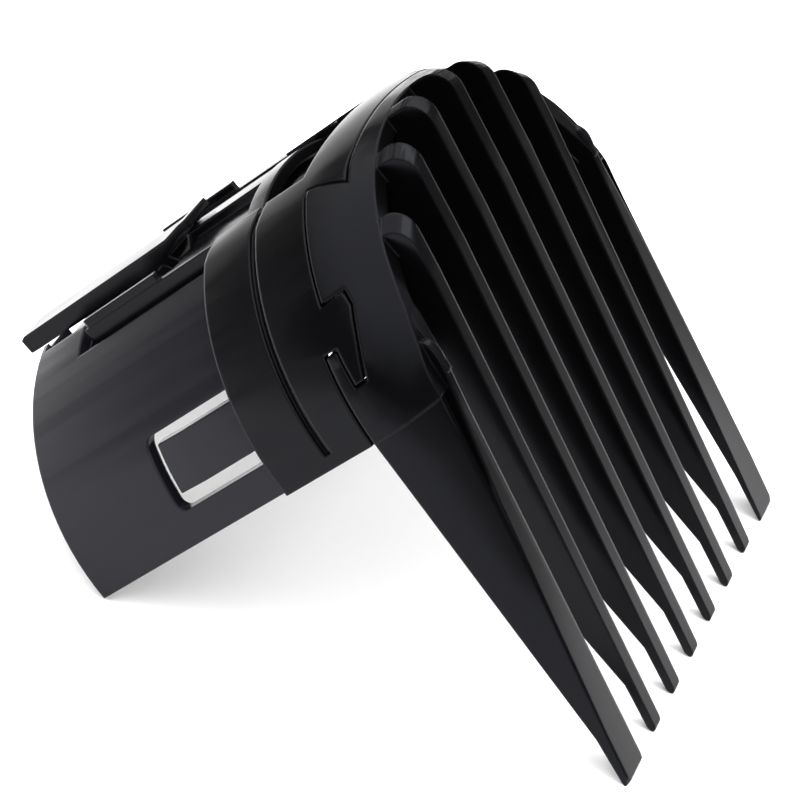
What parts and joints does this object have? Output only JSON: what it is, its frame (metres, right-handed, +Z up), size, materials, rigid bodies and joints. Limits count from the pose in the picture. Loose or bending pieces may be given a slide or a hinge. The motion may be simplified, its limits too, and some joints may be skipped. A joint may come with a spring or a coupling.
{
  "type": "clipper guard comb",
  "caption": "Adjustable hair clipper guard comb: a half-round sleeve telescopes in a collar that carries a toothed comb head and a rocking latch lever.",
  "frame": {"origin": "centre of the bounding box's underside, with the part lying on its tooth tips and the sleeve's two rear corners", "axes": "+Z up; +X to the right, square to the plane that the comb is symmetric about; +Y from the sleeve's rear towards the tooth tips"},
  "size_m": [0.0506, 0.0764, 0.0536],
  "materials": {
    "black_gloss": "moulded near-black plastic, semi-gloss",
    "black_satin": "moulded near-black plastic, slightly bluish, soft gloss",
    "spring_steel": "bright spring strip"
  },
  "bodies": {
    "head": {"collar_frame": "black_gloss", "comb_head": "black_gloss", "lever_spring": "spring_steel"},
    "sleeve": {"sleeve_shell": "black_satin"},
    "lever": {"selector_lever": "black_gloss"},
    "right_tongue": {"right_snap_tongue": "black_satin"},
    "left_tongue": {"left_snap_tongue": "black_satin"}
  },
  "joints": [
    {"name": "length_slide", "type": "slide", "parent": "head", "child": "sleeve", "axis": [0, -0.6524, -0.7579], "range_m": [0, 0.009]},
    {"name": "lever_rock", "type": "hinge", "parent": "head", "child": "lever", "pos_m": [0, -0.02222, 0.02479], "axis": [1, 0, 0], "range_deg": [0, 2.2], "stiffness_Nm_per_rad": 0.05, "springref_deg": -2.86},
    {"name": "right_tongue_flex", "type": "hinge", "parent": "sleeve", "child": "right_tongue", "pos_m": [0.0219, -0.00315, 0.0279], "axis": [-0.3659, -0.7053, 0.6072], "range_deg": [0, 4], "stiffness_Nm_per_rad": 0.05, "springref_deg": -1.15},
    {"name": "left_tongue_flex", "type": "hinge", "parent": "sleeve", "child": "left_tongue", "pos_m": [-0.0219, -0.00315, 0.0279], "axis": [-0.3659, 0.7053, -0.6072], "range_deg": [0, 4], "stiffness_Nm_per_rad": 0.05, "springref_deg": -1.15}
  ]
}
